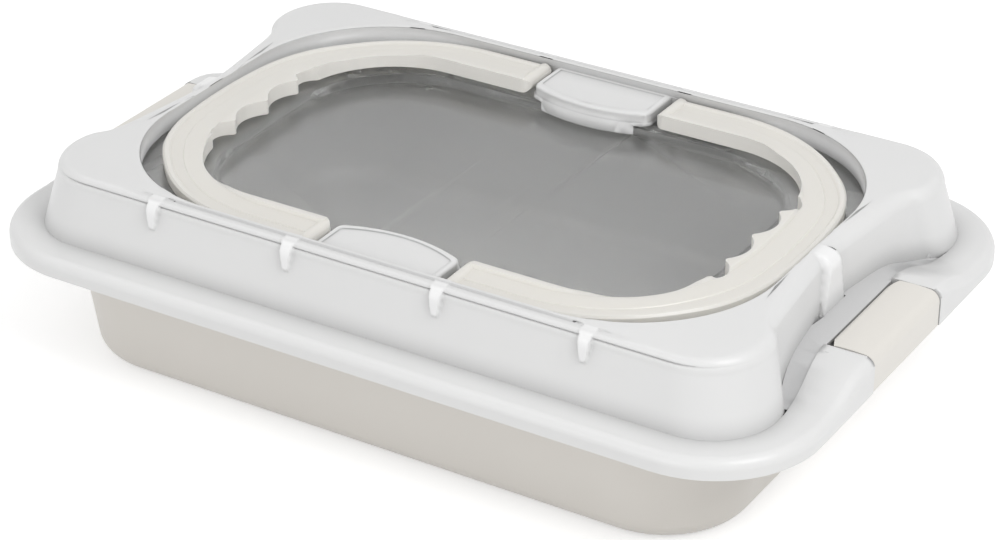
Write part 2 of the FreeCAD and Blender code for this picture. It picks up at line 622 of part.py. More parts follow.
def rib(inner, outer, low, top_width, foot_width):
    """One rib that points along X: a wedge as seen from the front, with a round tip where it narrows."""
    half = max(top_width, foot_width) / 2
    fin = rib_profile(inner, outer, low).extrude(Vector(0, 2 * half, 0))
    fin.translate(Vector(0, -half, 0))
    top = dome_top
    tip = foot_width / 2 if foot_width < top_width else 0
    corners = [(-foot_width / 2, low + tip), (foot_width / 2, low + tip),
               (top_width / 2, top), (-top_width / 2, top)]
    front = [Vector(inner - SMALL, y, z) for y, z in corners]
    sides = [Part.LineSegment(front[1], front[2]), Part.LineSegment(front[2], front[3]),
             Part.LineSegment(front[3], front[0])]
    foot = (Part.Arc(front[0], Vector(inner - SMALL, 0, low), front[1]) if tip
            else Part.LineSegment(front[0], front[1]))
    wedge = Part.Face(Part.Wire([piece.toShape() for piece in (foot, *sides)]))
    return fin.common(wedge.extrude(Vector(outer - inner + 2 * SMALL, 0, 0)))


def outer_ribs():
    """Short ribs on the outside: four along each long wall, and a broad one in the middle of each end."""
    low = dome_top - size["rib_height"]
    side_rib = rib(size["shoulder_half_width"] - 2 * size["rib_bend"], dome_reach(low)[1], low,
                   size["rib_top_width"], size["rib_tip_width"])
    ribs = []
    for side in (-1, 1):
        turned = side_rib.copy()
        turned.rotate(Vector(0, 0, 0), Vector(0, 0, 1), 90 * side)
        for place in (size["rib_corner_place"], size["rib_pivot_place"]):
            for x in (-place, place):
                fin = turned.copy()
                fin.translate(Vector(x, 0, 0))
                ribs.append(fin)
    end_rib = rib(size["shoulder_valley"] - 2 * size["rib_bend"],
                  size["dome_foot_valley"] + size["end_rib_reach"],
                  raised_flange - size["valley_groove_depth"] - size["lid_wall"] / 2,
                  size["end_rib_top_width"], size["end_rib_foot_width"])
    ribs.append(end_rib)
    ribs.append(end_rib.mirror(Vector(0, 0, 0), Vector(1, 0, 0)))
    return ribs


def latch_pivot_place():
    """Where a latch turns: distance from the middle, and height."""
    inner_edge = size["notch_inner_place"] + size["latch_inner_gap"]
    return inner_edge + size["latch_barrel_radius"], raised_flange - size["latch_barrel_radius"]


def build_lid():
    """One moulding: flange and skirt, lobed dome, handle recess, clear window, blocks, ribs and lugs."""
    wall = size["lid_wall"]
    below = skirt_foot - OVERSHOOT
    crease = size["crease_turn"]
    opening = size["crease_opening"]
    outside = dome("DomeOutside", 0, flange_top - wall, [
        (crease - opening, 0), (crease, size["crease_depth"]), (crease + opening, 0),
        ((crease + opening + 90) / 2, 0), (90, 0)])
    inside = dome("DomeInside", wall, below, [(45, 0), (90, 0)])
    flange = cut("Flange", flange_body("FlangeOutside", 0, 0, 0, skirt_foot), valley_grooves())
    thickness = size["flange_thickness"]
    middle_drop = thickness + size["valley_groove_depth"]
    under_flange = flange_body("FlangeInside", wall, thickness, middle_drop, below)

    tub_height = "Sizes.ledge_depth + Sizes.lid_wall / 2"
    tub = prism("RecessTub", rounded_rectangle(
        size["recess_half_length"] + wall, size["recess_half_width"] + wall, size["recess_corner"] + wall,
        shelf - wall), tub_height)
    window_tub = prism("WindowTub", rounded_rectangle(
        size["window_half_length"] + wall, size["window_half_width"] + wall, size["window_corner"] + wall,
        window - wall), "Sizes.window_drop + Sizes.lid_wall / 2")
    recess = prism("Recess", rounded_rectangle(
        size["recess_half_length"], size["recess_half_width"], size["recess_corner"], shelf),
        f"Sizes.ledge_depth + {OVERSHOOT}")
    window_pocket = prism("WindowPocket", rounded_rectangle(
        size["window_half_length"], size["window_half_width"], size["window_corner"], window),
        "Sizes.window_drop + Sizes.lid_wall")

    pivot_x = size["pivot_place"]
    bore_radius = size["pivot_pin_diameter"] / 2 + size["pin_clearance"]
    bore_depth = size["pivot_pin_length"] - size["handle_gap"] + size["bore_end_clearance"]
    boss_radius = bore_radius + size["boss_wall"]
    solids = []
    hollows = []
    panels = []
    for side in (-1, 1):
        name = "Front" if side < 0 else "Back"
        step = size["block_step"]
        tier = window + size["block_tier"]
        solids.append(block(f"Block{name}", side, step, tier - step, block_top, size["block_edge"]))
        solids.append(block(f"BlockFoot{name}", side, 0, window - wall, tier))
        hollows.append(block(f"BlockHollow{name}", side, wall + step, below, block_top - wall))
        panels.append(block(f"BlockPanel{name}", side, size["block_panel_margin"],
                            block_top - size["block_panel_depth"], block_top + OVERSHOOT))
    blocks = cut("Blocks", fuse("BlockMasses", solids), fuse("BlockPanels", panels))
    open_recess = cut("OpenRecess", fuse("RecessAndWindow", [recess, window_pocket]), blocks)
    doc.recompute()

    face = size["recess_half_width"]
    bore_clear = size["pin_clearance"]
    bosses = []
    bores = []
    for x_side in (-1, 1):
        for y_side in (-1, 1):
            along = Vector(0, y_side, 0)
            boss_start = Vector(x_side * pivot_x, y_side * (face + bore_clear), pivot_level)
            bosses.append(Part.makeCylinder(boss_radius, bore_depth + wall, boss_start, along))
            bore_start = Vector(x_side * pivot_x, y_side * (face - wall), pivot_level)
            bores.append(Part.makeCylinder(bore_radius, bore_depth + wall, bore_start, along))

    latch_x, latch_z = latch_pivot_place()
    trunnion_radius = size["latch_pin_diameter"] / 2 + size["pin_clearance"]
    lug_radius = trunnion_radius + wall
    lug_thickness = size["latch_pin_length"] - size["latch_side_gap"] + size["bore_end_clearance"] + wall
    notch = size["notch_half_width"]
    lugs = []
    trunnion_bores = []
    for x_side in (-1, 1):
        for y_side in (-1, 1):
            along = Vector(0, y_side, 0)
            centre = Vector(x_side * latch_x, y_side * notch, latch_z)
            lug = Part.makeCylinder(lug_radius, lug_thickness, centre, along)
            web = Part.makeBox(2 * lug_radius, lug_thickness, raised_flange - thickness - latch_z)
            web_y = min(centre.y, centre.y + y_side * lug_thickness)
            web.translate(Vector(centre.x - lug_radius, web_y, latch_z))
            lugs.append(lug.fuse(web))
            bore = Part.makeCylinder(
                trunnion_radius, lug_thickness, centre - along * wall, along)
            trunnion_bores.append(bore)

    notches = []
    for x_side in (-1, 1):
        notch_box = Part.makeBox(
            2 * OVERSHOOT + size["flange_half_length"] - size["notch_inner_place"], 2 * notch,
            raised_flange - below + OVERSHOOT, Vector(size["notch_inner_place"], -notch, below))
        notches.append(notch_box if x_side > 0 else notch_box.mirror(Vector(0, 0, 0), Vector(1, 0, 0)))

    steps = []
    for name, side in (("Front", -1), ("Back", 1)):
        step_box = doc.addObject("Part::Box", f"TopStep{name}")
        step_box.setExpression("Length", "2 * Sizes.rib_corner_place")
        step_box.setExpression("Width", FLANGE_WIDTH)
        step_box.setExpression("Height", f"{OVERSHOOT}")
        step_box.setExpression("Placement.Base.x", "-Sizes.rib_corner_place")
        reach = f"{RECESS_WIDTH} + Sizes.top_step_inset"
        place = reach if side > 0 else f"-({reach}) - {FLANGE_WIDTH}"
        step_box.setExpression("Placement.Base.y", place)
        step_box.setExpression("Placement.Base.z", f"{DOME_TOP} - Sizes.top_step_depth")
        steps.append(step_box)
    stepped = cut("SteppedDome", outside, fuse("TopSteps", steps))
    ribs = [shaped(f"Rib{index}", fin) for index, fin in enumerate(outer_ribs(), 1)]
    masses = fuse("LidOutside", [stepped, flange, *ribs])
    shell = cut("LidShell", masses, fuse("LidHollow", [inside, under_flange]))
    tubs = cut("LidTubs", fuse("Tubs", [tub, window_tub]), fuse("BlockHollows", hollows))
    doc.recompute()
    body = shell.Shape.multiFuse([tubs.Shape] + bosses + lugs)
    hollow_shapes = [hollow.Shape for hollow in hollows]
    return shaped("Lid", body.cut([open_recess.Shape] + hollow_shapes + bores + trunnion_bores + notches))


lid = build_lid()
lid.Label = "lid"


def arc_between(centre, radius, start_angle, end_angle, level):
    """Flat arc from one direction to another, in degrees."""
    angles = (start_angle, (start_angle + end_angle) / 2, end_angle)
    directions = [(math.cos(math.radians(angle)), math.sin(math.radians(angle))) for angle in angles]
    points = [Vector(centre.x + radius * x, centre.y + radius * y, level) for x, y in directions]
    return Part.Arc(*points).toShape()


def outer_path():
    """Outer edge of one handle seen from above: straight arm, tight bend, nearly flat end, and back."""
    end_radius = size["handle_end_radius"]
    bend_radius = size["handle_bend_radius"]
    level = handle_underside
    end_centre = Vector(size["handle_half_length"] - end_radius, 0, 0)
    offset = handle_side - bend_radius
    bend_x = end_centre.x + math.sqrt((end_radius - bend_radius) ** 2 - offset ** 2)
    meeting = math.degrees(math.asin(offset / (end_radius - bend_radius)))
    start = Vector(size["pivot_place"], -handle_side, level)
    finish = Vector(size["pivot_place"], handle_side, level)
    return Part.Wire([
        Part.LineSegment(start, Vector(bend_x, -handle_side, level)).toShape(),
        arc_between(Vector(bend_x, -offset, 0), bend_radius, -90, -meeting, level),
        arc_between(end_centre, end_radius, -meeting, meeting, level),
        arc_between(Vector(bend_x, offset, 0), bend_radius, meeting, 90, level),
        Part.LineSegment(Vector(bend_x, handle_side, level), finish).toShape()])


def handle_section():
    """Cross-section of a handle at its pivot: outer rim, channel with a fine step, inner lip."""
    x = size["pivot_place"]
    width = size["handle_width"] + size["grip_depth"]
    base = handle_underside
    rim = base + size["handle_rim_height"]
    lip = base + size["handle_lip_height"]
    channel = base + size["channel_floor_height"]
    bevel = size["handle_bevel"]
    land = size["handle_rim_land"]
    deep = size["channel_reach"]
    lip_start = size["lip_reach"]
    fine = bevel / 2
    places = [(bevel, base), (0, base + bevel), (0, rim - bevel), (bevel, rim), (land, rim),
              (land + bevel, rim - bevel), (deep, channel), (deep + fine, channel + fine),
              (lip_start, channel + bevel), (lip_start + bevel, lip), (width, lip), (width, base),
              (bevel, base)]
    return Part.makePolygon([Vector(x, -handle_side + inward, z) for inward, z in places])


def handle_plan():
    """Plan of one handle: rounded arm ends and finger hollows along the inside of its end."""
    level = handle_underside - size["handle_bevel"]
    tail = size["pivot_place"] - size["pivot_height"]
    inner_y = handle_side - size["handle_width"]
    hollow_x = size["handle_half_length"] - size["handle_width"] + size["handle_bevel"]
    cusp_x = hollow_x - size["grip_depth"]
    pitch = size["grip_pitch"]
    corner = size["handle_inner_corner"]
    tail_corner = size["handle_tail_corner"]
    corner_centre = Vector(hollow_x - size["grip_shoulder"] - corner, corner - inner_y, 0)
    corner_end = size["grip_corner_angle"]
    outer_hollow = 1.45 * pitch
    meeting = corner_centre + Vector(
        corner * math.cos(math.radians(corner_end)), -corner * math.sin(math.radians(corner_end)), 0)

    def place(x, y):
        return Vector(x, y, level)

    def line(first, second):
        return Part.LineSegment(place(*first), place(*second)).toShape()

    def hollow(first, deepest, second):
        return Part.Arc(place(*first), place(*deepest), place(*second)).toShape()

    wide = handle_side + OVERSHOOT
    half = [
        line((tail, -wide), (tail, -inner_y - tail_corner)),
        arc_between(Vector(tail + tail_corner, -inner_y - tail_corner, 0), tail_corner, 180, 90, level),
        line((tail + tail_corner, -inner_y), (corner_centre.x, -inner_y)),
        arc_between(corner_centre, corner, -90, -corner_end, level),
        hollow((meeting.x, meeting.y), (hollow_x, -outer_hollow), (cusp_x, -pitch)),
        hollow((cusp_x, -pitch), (hollow_x, -pitch / 2), (cusp_x, 0))]
    mirrored = [edge.mirror(Vector(0, 0, 0), Vector(0, 1, 0)) for edge in half]
    far = size["handle_half_length"] + OVERSHOOT
    outside = [line((tail, wide), (far, wide)), line((far, wide), (far, -wide)),
               line((far, -wide), (tail, -wide))]
    return Part.Face(Part.Wire(Part.__sortEdges__(half + mirrored + outside)))


def build_handle(name, turn):
    """One U-shaped carrying handle with its two pivot pins; turn is its place about Z."""
    ring = outer_path().makePipeShell([handle_section()], True, False)
    radius = size["pivot_height"] - SMALL
    inner_y = handle_side - size["handle_width"]
    tails = []
    pins = []
    for side in (-1, 1):
        along = Vector(0, side, 0)
        start = Vector(size["pivot_place"], side * inner_y, pivot_level)
        tails.append(Part.makeCylinder(radius, size["handle_width"], start, along))
        buried = size["handle_rim_land"]
        pin_start = Vector(size["pivot_place"], side * (handle_side - buried), pivot_level)
        pin_length = size["pivot_pin_length"] + buried
        pins.append(Part.makeCylinder(size["pivot_pin_diameter"] / 2, pin_length, pin_start, along))
    plan = handle_plan().extrude(Vector(0, 0, size["handle_lip_height"] + OVERSHOOT))
    cusp_x = size["handle_half_length"] - size["handle_width"] + size["handle_bevel"] - size["grip_depth"]
    cusps = [edge for edge in plan.Edges
             if edge.BoundBox.ZLength > SMALL and abs(edge.CenterOfMass.x - cusp_x) < SMALL]
    plan = plan.makeFillet(size["grip_cusp_radius"], cusps)
    handle = shaped(name, ring.multiFuse(tails).common(plan).multiFuse(pins))
    handle.Placement = Placement(Vector(0, 0, 0), Rotation(Vector(0, 0, 1), turn))
    return handle


right_handle = build_handle("RightHandle", 0)
right_handle.Label = "right_handle"
left_handle = build_handle("LeftHandle", 180)
left_handle.Label = "left_handle"


def latch_profile():
    """Side view of a latch: arched plate, outer wall and a hook under the rim."""
    gap = size["latch_side_gap"]
    outer = size["flange_half_length"] - gap / 2
    top = raised_flange
    wall = size["latch_wall"]
    foot = skirt_foot + gap / 2
    pivot_x = latch_pivot_place()[0]
    bend = size["latch_bend"]
    eased = bend * (1 - math.sqrt(0.5))
    hook_top = size["pan_height"] - size["bead_diameter"] - gap
    hook_tip = outer - wall - size["latch_hook"]
    inside = outer - wall

    def place(x, z):
        return Vector(x, 0, z)

    crown = Part.Arc(place(pivot_x, top), place((pivot_x + outer - bend) / 2, top + size["latch_crown"]),
                     place(outer - bend, top))
    shoulder = Part.Arc(place(outer - bend, top), place(outer - eased, top - eased), place(outer, top - bend))
    corners = [(outer, top - bend), (outer, foot), (hook_tip, foot), (hook_tip, hook_top), (inside, hook_top),
               (inside, top - 2 * wall), (inside - wall, top - wall), (pivot_x, top - wall), (pivot_x, top)]
    rest = Part.makePolygon([place(x, z) for x, z in corners])
    return Part.Face(Part.Wire([crown.toShape(), shoulder.toShape(), *rest.Edges]))


def build_latch(name, turn):
    """One latch with barrel and trunnions; turn is its place about Z."""
    half = size["notch_half_width"] - size["latch_side_gap"]
    radius = size["latch_barrel_radius"]
    pivot_x, pivot_z = latch_pivot_place()
    plate = latch_profile().extrude(Vector(0, 2 * half, 0))
    plate.translate(Vector(0, -half, 0))
    inner = pivot_x - radius
    corner = size["latch_corner"]
    depth = size["latch_corner_depth"]
    low = skirt_foot - OVERSHOOT
    corners = []
    for side in (-1, 1):
        outline = [(inner - depth, half - 2 * corner), (inner - depth, half + corner),
                   (inner + depth, half + corner), (inner + depth, half), (inner, half - corner),
                   (inner - depth, half - 2 * corner)]
        points = [Vector(x, side * y, low) for x, y in outline]
        corners.append(Part.Face(Part.makePolygon(points)).extrude(Vector(0, 0, raised_flange)))
    across = Vector(0, 1, 0)
    barrel = Part.makeCylinder(radius, 2 * half, Vector(pivot_x, -half, pivot_z), across)
    pin_half = half + size["latch_pin_length"]
    pin_start = Vector(pivot_x, -pin_half, pivot_z)
    pin = Part.makeCylinder(size["latch_pin_diameter"] / 2, 2 * pin_half, pin_start, across)
    latch = shaped(name, plate.fuse(barrel).cut(corners).fuse(pin))
    latch.Placement = Placement(Vector(0, 0, 0), Rotation(Vector(0, 0, 1), turn))
    return latch


right_latch = build_latch("RightLatch", 0)
right_latch.Label = "right_latch"
left_latch = build_latch("LeftLatch", 180)
left_latch.Label = "left_latch"

PIECES = [pan, lid, left_handle, right_handle, left_latch, right_latch]
doc.recompute()
for feature in doc.Objects:
    if "Invalid" in feature.State or "Error" in feature.State:
        raise RuntimeError(f"{feature.Name} failed: {feature.State}")
for piece in PIECES:
    if piece.Shape.isNull() or not piece.Shape.isValid():
        raise RuntimeError(f"{piece.Label} has no valid shape")

os.makedirs("parts", exist_ok=True)
for piece in PIECES:
    piece.Shape.exportStep(f"parts/{piece.Label}.step")
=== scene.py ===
import bpy
import bmesh
import math
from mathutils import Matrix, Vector
from mathutils.bvhtree import BVHTree


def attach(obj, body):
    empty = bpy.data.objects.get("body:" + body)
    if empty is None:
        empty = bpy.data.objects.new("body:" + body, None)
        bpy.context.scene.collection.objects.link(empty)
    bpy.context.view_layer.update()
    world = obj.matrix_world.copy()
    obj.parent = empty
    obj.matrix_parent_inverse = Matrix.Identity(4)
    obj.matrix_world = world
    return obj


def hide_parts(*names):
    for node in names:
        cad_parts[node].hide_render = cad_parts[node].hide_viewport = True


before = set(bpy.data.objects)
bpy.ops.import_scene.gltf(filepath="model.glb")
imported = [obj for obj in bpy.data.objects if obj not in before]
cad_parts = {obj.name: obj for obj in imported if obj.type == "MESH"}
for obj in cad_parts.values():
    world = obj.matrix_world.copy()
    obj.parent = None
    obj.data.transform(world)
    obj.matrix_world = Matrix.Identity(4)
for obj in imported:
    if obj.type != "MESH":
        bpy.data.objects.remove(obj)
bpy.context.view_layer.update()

# The studio: a plain pale floor under soft, even light from the world and three lamps.
# The floor and the world look white to the camera, in reflections and through clear plastic.
scene = bpy.context.scene
scene.view_settings.view_transform = "Standard"


def white_background(nodes, links):
    """Light Path mask: 1 for camera, glossy and transmission rays, 0 for the rays that light the object."""
    rays = nodes.new("ShaderNodeLightPath")
    seen = rays.outputs["Is Camera Ray"]
    for kind in ("Is Glossy Ray", "Is Transmission Ray"):
        either = nodes.new("ShaderNodeMath")
        either.operation = "MAXIMUM"
        links.new(seen, either.inputs[0])
        links.new(rays.outputs[kind], either.inputs[1])
        seen = either.outputs["Value"]
    return seen


world = bpy.data.worlds.new("studio_world")
scene.world = world
world.use_nodes = True
world_nodes = world.node_tree.nodes
world_links = world.node_tree.links
world_nodes.clear()
ambient = world_nodes.new("ShaderNodeBackground")
ambient.inputs["Color"].default_value = (1.0, 1.0, 1.0, 1.0)
ambient.inputs["Strength"].default_value = 0.64
backdrop = world_nodes.new("ShaderNodeBackground")
backdrop.inputs["Color"].default_value = (1.0, 1.0, 1.0, 1.0)
backdrop.inputs["Strength"].default_value = 1.0
world_mix = world_nodes.new("ShaderNodeMixShader")
world_output = world_nodes.new("ShaderNodeOutputWorld")
world_links.new(white_background(world_nodes, world_links), world_mix.inputs["Fac"])
world_links.new(ambient.outputs["Background"], world_mix.inputs[1])
world_links.new(backdrop.outputs["Background"], world_mix.inputs[2])
world_links.new(world_mix.outputs["Shader"], world_output.inputs["Surface"])

floor_half = 3.0
floor_level = -0.0004
floor_corners = [(-floor_half, -floor_half, floor_level), (floor_half, -floor_half, floor_level),
                 (floor_half, floor_half, floor_level), (-floor_half, floor_half, floor_level)]
floor_mesh = bpy.data.meshes.new("studio_floor")
floor_mesh.from_pydata(floor_corners, [], [(0, 1, 2, 3)])
floor = bpy.data.objects.new("studio_floor", floor_mesh)
scene.collection.objects.link(floor)
floor_material = bpy.data.materials.new("pale_paper")
floor_material.use_nodes = True
floor_nodes = floor_material.node_tree.nodes
floor_links = floor_material.node_tree.links
floor_surface = floor_nodes["Principled BSDF"]
floor_surface.inputs["Base Color"].default_value = (0.80, 0.80, 0.80, 1.0)
floor_surface.inputs["Roughness"].default_value = 0.9
floor_glow = floor_nodes.new("ShaderNodeEmission")
floor_glow.inputs["Strength"].default_value = 0.45
floor_mix = floor_nodes.new("ShaderNodeMixShader")
floor_add = floor_nodes.new("ShaderNodeAddShader")
floor_links.new(floor_surface.outputs["BSDF"], floor_add.inputs[0])
floor_links.new(floor_glow.outputs["Emission"], floor_add.inputs[1])
floor_links.new(white_background(floor_nodes, floor_links), floor_mix.inputs["Fac"])
floor_links.new(floor_surface.outputs["BSDF"], floor_mix.inputs[1])
floor_links.new(floor_add.outputs["Shader"], floor_mix.inputs[2])
floor_links.new(floor_mix.outputs["Shader"], floor_nodes["Material Output"].inputs["Surface"])
floor_mesh.materials.append(floor_material)
lamp_target = Vector((0, 0, 0.05))


def softbox(name, place, width, height, watts):
    """A rectangular lamp that faces the middle of the object."""
    lamp = bpy.data.lights.new(name, "AREA")
    lamp.shape = "RECTANGLE"
    lamp.size = width
    lamp.size_y = height
    lamp.energy = watts
    holder = bpy.data.objects.new(name, lamp)
    holder.location = place
    holder.rotation_euler = (lamp_target - Vector(place)).to_track_quat("-Z", "Y").to_euler()
    scene.collection.objects.link(holder)


softbox("lamp_key", (1.0, -0.3, 1.15), width=0.6, height=0.6, watts=7.5)
softbox("lamp_left", (-0.9, -0.35, 1.5), width=0.5, height=1.0, watts=2.0)
softbox("lamp_front", (-0.2, -1.7, 0.75), width=1.2, height=0.7, watts=5.0)

# The camera stands where the photograph was taken, a long lens looking down on the near right corner.
# Direction and distance were fitted to the corners of the lid and the pan.
view_azimuth = math.radians(31.43)
view_elevation = math.radians(29.0)
view_distance = 1.303
view_target = Vector((0.0003, 0.0, 0.0353))
camera = bpy.data.cameras.new("product_camera")
camera.sensor_width = 36.0
camera.lens = 107.6
camera_holder = bpy.data.objects.new("product_camera", camera)
view_direction = Vector((
    math.sin(view_azimuth) * math.cos(view_elevation),
    -math.cos(view_azimuth) * math.cos(view_elevation),
    math.sin(view_elevation)))
camera_holder.location = view_target + view_direction * view_distance
camera_holder.rotation_euler = (-view_direction).to_track_quat("-Z", "Y").to_euler()
scene.collection.objects.link(camera_holder)
scene.camera = camera_holder

# The pan is pressed from one sheet of steel with a turned-over rim.
# Outside it has a cream coating with a fine eggshell texture, inside a grey non-stick one.


def surface_grain(name):
    """Node group: fine two-scale grain of a coated or moulded surface, as a height and a soft mask."""
    group = bpy.data.node_groups.new(name, "ShaderNodeTree")
    for label, value in (("Fine Scale", 900.0), ("Broad Scale", 14.0)):
        socket = group.interface.new_socket(label, in_out="INPUT", socket_type="NodeSocketFloat")
        socket.default_value = value
    group.interface.new_socket("Height", in_out="OUTPUT", socket_type="NodeSocketFloat")
    group.interface.new_socket("Mask", in_out="OUTPUT", socket_type="NodeSocketFloat")
    nodes = group.nodes
    links = group.links
    entry = nodes.new("NodeGroupInput")
    leave = nodes.new("NodeGroupOutput")
    place = nodes.new("ShaderNodeTexCoord")
    fine = nodes.new("ShaderNodeTexNoise")
    fine.inputs["Detail"].default_value = 3.0
    broad = nodes.new("ShaderNodeTexNoise")
    broad.inputs["Detail"].default_value = 2.0
    links.new(place.outputs["Object"], fine.inputs["Vector"])
    links.new(place.outputs["Object"], broad.inputs["Vector"])
    links.new(entry.outputs["Fine Scale"], fine.inputs["Scale"])
    links.new(entry.outputs["Broad Scale"], broad.inputs["Scale"])
    links.new(fine.outputs["Fac"], leave.inputs["Height"])
    links.new(broad.outputs["Fac"], leave.inputs["Mask"])
    return group


grain = surface_grain("surface_grain")
gloss_spread = 0.05


def moulded_material(name, colour, worn_colour, roughness, bump, fine_scale):
    """Coated or moulded finish: two near tones, uneven gloss and a fine grain."""
    material = bpy.data.materials.new(name)
    material.use_nodes = True
    nodes = material.node_tree.nodes
    links = material.node_tree.links
    surface = nodes["Principled BSDF"]
    texture = nodes.new("ShaderNodeGroup")
    texture.node_tree = grain
    texture.inputs["Fine Scale"].default_value = fine_scale
    tones = nodes.new("ShaderNodeMix")
    tones.data_type = "RGBA"
    tones.inputs["A"].default_value = (*colour, 1.0)
    tones.inputs["B"].default_value = (*worn_colour, 1.0)
    gloss = nodes.new("ShaderNodeMapRange")
    gloss.inputs["To Min"].default_value = roughness - gloss_spread
    gloss.inputs["To Max"].default_value = roughness + gloss_spread
    relief = nodes.new("ShaderNodeBump")
    relief.inputs["Strength"].default_value = bump
    relief.inputs["Distance"].default_value = 0.0002
    links.new(texture.outputs["Mask"], tones.inputs["Factor"])
    links.new(tones.outputs["Result"], surface.inputs["Base Color"])
    links.new(texture.outputs["Height"], gloss.inputs["Value"])
    links.new(gloss.outputs["Result"], surface.inputs["Roughness"])
    links.new(texture.outputs["Height"], relief.inputs["Height"])
    links.new(relief.outputs["Normal"], surface.inputs["Normal"])
    return material


def shade_smooth(mesh):
    """Smooth shading that breaks at edges sharper than 40 degrees."""
    for face in mesh.polygons:
        face.use_smooth = True
    mesh.set_sharp_from_angle(angle=math.radians(40))


def refined(node, edge_width=0.0, sharp_angle=0.0):
    """A copy of a node's mesh with merged faces and softly rounded edges."""
    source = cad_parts[node]
    mesh = source.data.copy()
    mesh.name = node + "_finish"
    mesh.materials.clear()
    piece = bpy.data.objects.new(node + "_finish", mesh)
    scene.collection.objects.link(piece)
    work = bmesh.new()
    work.from_mesh(mesh)
    bmesh.ops.remove_doubles(work, verts=work.verts, dist=0.00001)
    bmesh.ops.dissolve_limit(work, angle_limit=math.radians(0.02), verts=work.verts, edges=work.edges)
    if edge_width:
        sharp = [edge for edge in work.edges
                 if len(edge.link_faces) == 2 and edge.calc_face_angle(0.0) > sharp_angle]
        bmesh.ops.bevel(work, geom=sharp, offset=edge_width, segments=2, profile=0.6, affect="EDGES",
                        clamp_overlap=True)
    work.to_mesh(mesh)
    work.free()
    shade_smooth(mesh)
    settle = piece.modifiers.new("even_normals", "WEIGHTED_NORMAL")
    settle.keep_sharp = True
    settle.mode = "FACE_AREA_WITH_ANGLE"
    return piece


cream_coating = moulded_material(
    "cream_coating", (0.70, 0.67, 0.625), (0.72, 0.69, 0.645), roughness=0.36, bump=0.15, fine_scale=1400.0)
grey_nonstick = moulded_material(
    "grey_nonstick", (0.43, 0.43, 0.415), (0.46, 0.46, 0.445), roughness=0.20, bump=0.08, fine_scale=1800.0)
nonstick_surface = grey_nonstick.node_tree.nodes["Principled BSDF"]
nonstick_surface.inputs["Coat Weight"].default_value = 0.7
nonstick_surface.inputs["Coat Roughness"].default_value = 0.10
pan = refined("pan")
pan.data.materials.append(cream_coating)
pan.data.materials.append(grey_nonstick)
pan_gauge = 0.001
least_upward = 0.3
for face in pan.data.polygons:
    centre = face.center
    inward = face.normal.x * centre.x + face.normal.y * centre.y < 0 and centre.z > pan_gauge
    upward = face.normal.z > least_upward
    face.material_index = 1 if (upward or inward) and centre.z > pan_gauge / 2 else 0
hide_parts("pan")
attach(pan, "pan_and_lid")

# The lid is one moulding of frosted plastic, polished clear in the shelf and window under the handles.
# It rests on the rim of the pan and is held by the latches on its short ends.
frosted_finish = {"roughness": 0.34, "bump": 0.10, "fine_scale": 700.0}
frosted = moulded_material("frosted_plastic", (0.74, 0.74, 0.74), (0.77, 0.77, 0.765), **frosted_finish)
frosted_surface = frosted.node_tree.nodes["Principled BSDF"]
frosted_surface.inputs["Subsurface Weight"].default_value = 0.25
frosted_surface.inputs["Subsurface Radius"].default_value = (0.004, 0.004, 0.004)
frosted_surface.inputs["Subsurface Scale"].default_value = 1.0
frosted_nodes = frosted.node_tree.nodes
frosted_links = frosted.node_tree.links
# Painted shade: an ambient occlusion node multiplies the frosted colour darker in the lid's creases, corners
# and hollows.
crevice = frosted_nodes.new("ShaderNodeAmbientOcclusion")
crevice.inputs["Distance"].default_value = 0.010
crevice.samples = 8
painted_crevice_shade = frosted_nodes.new("ShaderNodeMix")
painted_crevice_shade.data_type = "RGBA"
painted_crevice_shade.blend_type = "MULTIPLY"
painted_crevice_shade.inputs["Factor"].default_value = 0.6
plain_tone = frosted_surface.inputs["Base Color"].links[0].from_socket
# Painted highlight: where the ribs stand out, the frosted colour is mixed towards a paler tone for the light
# they catch.
rib_highlight_mark = frosted_nodes.new("ShaderNodeAttribute")
rib_highlight_mark.attribute_name = "rib_painted_highlight"
rib_painted_highlight = frosted_nodes.new("ShaderNodeMix")
rib_painted_highlight.data_type = "RGBA"
rib_painted_highlight.inputs["B"].default_value = (0.87, 0.87, 0.87, 1.0)
frosted_links.new(rib_highlight_mark.outputs["Fac"], rib_painted_highlight.inputs["Factor"])
frosted_links.new(plain_tone, rib_painted_highlight.inputs["A"])
frosted_links.new(rib_painted_highlight.outputs["Result"], painted_crevice_shade.inputs["A"])
frosted_links.new(crevice.outputs["Color"], painted_crevice_shade.inputs["B"])
frosted_links.new(painted_crevice_shade.outputs["Result"], frosted_surface.inputs["Base Color"])
clear = moulded_material(
    "clear_plastic", (0.95, 0.955, 0.95), (0.97, 0.97, 0.97), roughness=0.10, bump=0.02, fine_scale=60.0)
clear_surface = clear.node_tree.nodes["Principled BSDF"]
clear_surface.inputs["IOR"].default_value = 1.49
clear_surface.inputs["Transmission Weight"].default_value = 1.0
clear_surface.inputs["Alpha"].default_value = 0.5
lid = refined("lid")
lid.data.materials.append(frosted)
lid.data.materials.append(clear)
# A darker copy of the frosted plastic is painted shade for the ledges beside the latches.
lid.data.materials.append(
    moulded_material("ledge_painted_shade", (0.60, 0.60, 0.605), (0.63, 0.63, 0.63), **frosted_finish))
flange_top = 0.0583
shoulder_top = 0.0830
dome_top = 0.0890
recess_half_length = 0.1494
recess_half_width = 0.1000
recess_corner = 0.066
recess_edge = 0.0005


def limited(value):
    """A value held between 0 and 1."""
    return min(max(value, 0.0), 1.0)


def eased(value):
    """The same, with a smooth start and end."""
    share = limited(value)
    return share * share * (3 - 2 * share)


def beyond_corner(x, y):
    """How far a place lies beyond the middle of the recess's corner, along the lid and across it."""
    return abs(x) - recess_half_length + recess_corner, abs(y) - recess_half_width + recess_corner


def past_recess(x, y, spread):
    """Distance of a place from the outline of the handle recess, negative inside it."""
    beside, ahead = beyond_corner(x, y)
    along_straight = min(max(beside, ahead), 0.0)
    return math.hypot(max(beside, 0.0), max(ahead, 0.0)) + along_straight - recess_corner - spread


